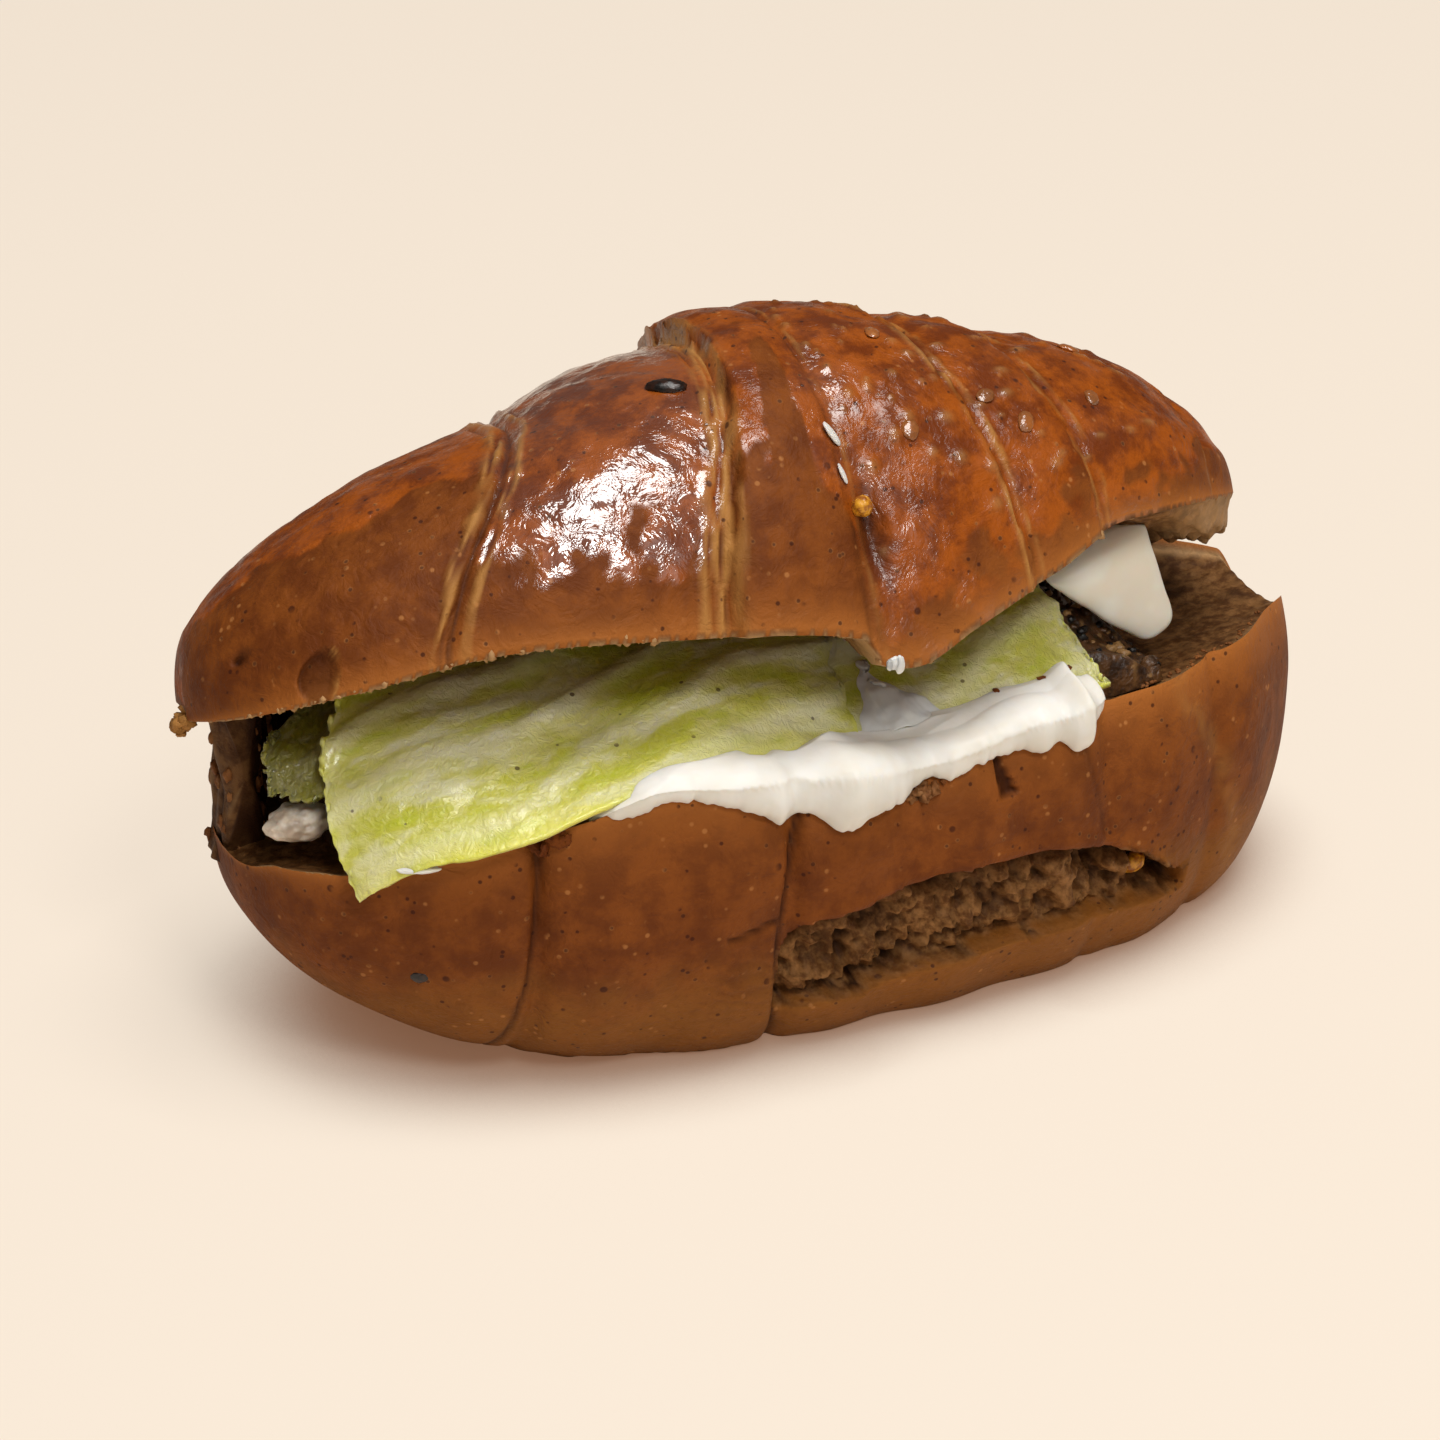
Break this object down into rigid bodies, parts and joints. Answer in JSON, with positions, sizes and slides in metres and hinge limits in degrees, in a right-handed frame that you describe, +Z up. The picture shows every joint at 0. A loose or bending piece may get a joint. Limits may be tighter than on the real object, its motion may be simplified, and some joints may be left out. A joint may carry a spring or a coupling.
{
  "type": "filled multigrain croissant",
  "caption": "Glazed straight croissant, cut open from the front and filled with lettuce, white cream, egg white and a dark chopped mix.",
  "frame": {"origin": "under the middle of the whole, on the table it rests on", "axes": "+X along the croissant, -Y its open front, +Z up"},
  "size_m": [0.153, 0.0806, 0.0859],
  "materials": {
    "crust": "brown baked crust, egg-washed and glossy on top, satin below, with pale brown crumb where it is cut and torn",
    "lettuce": "thin yellow-green leaf with a soft sheen",
    "cream": "smooth moist white cream",
    "filling": "dark chopped filling, moist and uneven",
    "egg_white": "smooth firm boiled egg white"
  },
  "bodies": {
    "root": {"croissant": "crust", "lettuce_front": "lettuce", "lettuce_right": "lettuce", "lettuce_left": "lettuce", "cream": "cream", "filling": "filling", "egg_white_right": "egg_white", "egg_white_left": "egg_white"}
  },
  "joints": []
}
